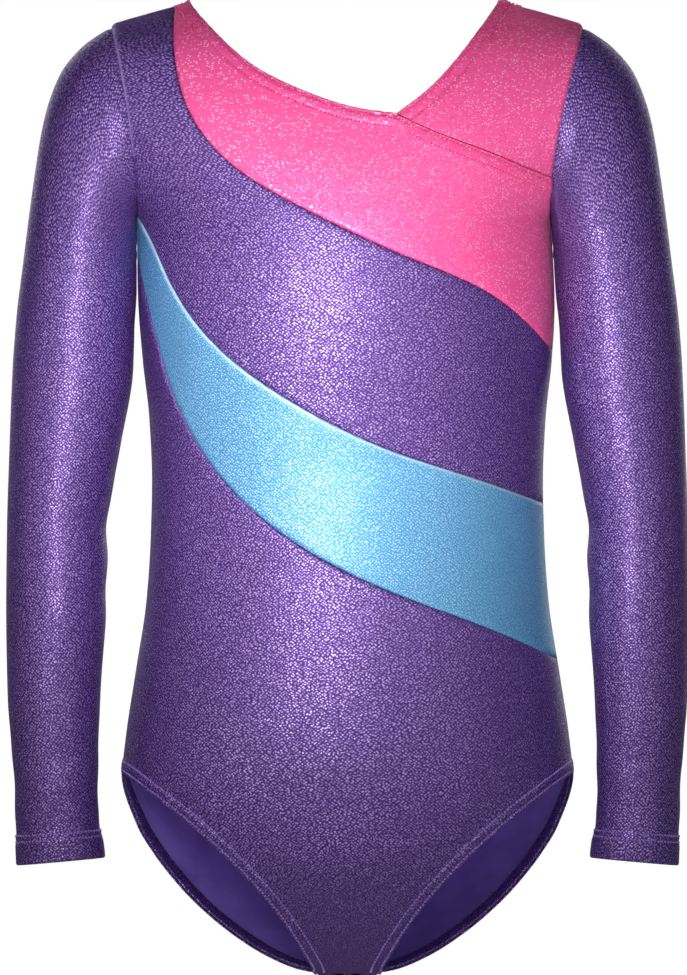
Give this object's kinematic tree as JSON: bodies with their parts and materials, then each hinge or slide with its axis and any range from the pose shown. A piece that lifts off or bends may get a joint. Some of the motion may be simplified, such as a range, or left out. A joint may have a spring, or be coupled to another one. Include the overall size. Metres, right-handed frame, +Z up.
{
  "type": "long-sleeved gymnastics leotard",
  "caption": "Child's long-sleeved gymnastics leotard in purple foil-dot stretch cloth with a pink glitter yoke and a blue sweep across the front.",
  "frame": {"origin": "middle of the line between the tops of the shoulders, where the garment hangs on its wearer", "axes": "+Z up from the crotch to the shoulders, +Y to the wearer's back, +X to the wearer's left"},
  "size_m": [0.3944, 0.1725, 0.5606],
  "materials": {
    "purple_cloth": "stretch knit with tiny foil dots",
    "pink_cloth": "stretch knit with glitter",
    "blue_cloth": "stretch knit with tiny foil dots",
    "lining_cloth": "matte knit",
    "thread": "satin thread",
    "seam_overlock": "serged edge",
    "elastic": "matte",
    "label_satin": "satin"
  },
  "bodies": {
    "trunk": {"armhole_seam_left": "seam_overlock", "armhole_seam_right": "seam_overlock", "back_panel": "purple_cloth", "blue_lower_seam": "seam_overlock", "blue_sweep_panel": "blue_cloth", "blue_upper_seam": "seam_overlock", "care_label": "label_satin", "crossover_stitching": "thread", "crotch_lining": "lining_cloth", "leg_elastic_left": "elastic", "leg_elastic_right": "elastic", "leg_hem_left": "purple_cloth", "leg_hem_right": "purple_cloth", "leg_stitching_left": "thread", "leg_stitching_right": "thread", "neck_elastic": "elastic", "neck_hem_back": "purple_cloth", "neck_hem_front": "pink_cloth", "neck_hem_shoulder": "pink_cloth", "neck_stitching": "thread", "pink_main_panel": "pink_cloth", "pink_seam": "seam_overlock", "pink_shoulder_panel": "pink_cloth", "purple_chest_panel": "purple_cloth", "purple_hip_panel": "purple_cloth", "shoulder_seam_left": "seam_overlock", "shoulder_seam_right": "seam_overlock", "side_seam_left": "seam_overlock", "side_seam_right": "seam_overlock", "sleeve_cap_left": "purple_cloth", "sleeve_cap_right": "purple_cloth"},
    "right_sleeve": {"cuff_hem_right": "purple_cloth", "cuff_stitching_right": "thread", "sleeve_right": "purple_cloth", "underarm_seam_right": "seam_overlock"},
    "left_sleeve": {"cuff_hem_left": "purple_cloth", "cuff_stitching_left": "thread", "sleeve_left": "purple_cloth", "underarm_seam_left": "seam_overlock"}
  },
  "joints": [
    {"name": "right_shoulder", "type": "hinge", "parent": "trunk", "child": "right_sleeve", "pos_m": [-0.125, 0, -0.072], "axis": [0, 1, 0], "range_deg": [0, 90]},
    {"name": "left_shoulder", "type": "hinge", "parent": "trunk", "child": "left_sleeve", "pos_m": [0.125, 0, -0.072], "axis": [0, -1, 0], "range_deg": [0, 90]}
  ]
}
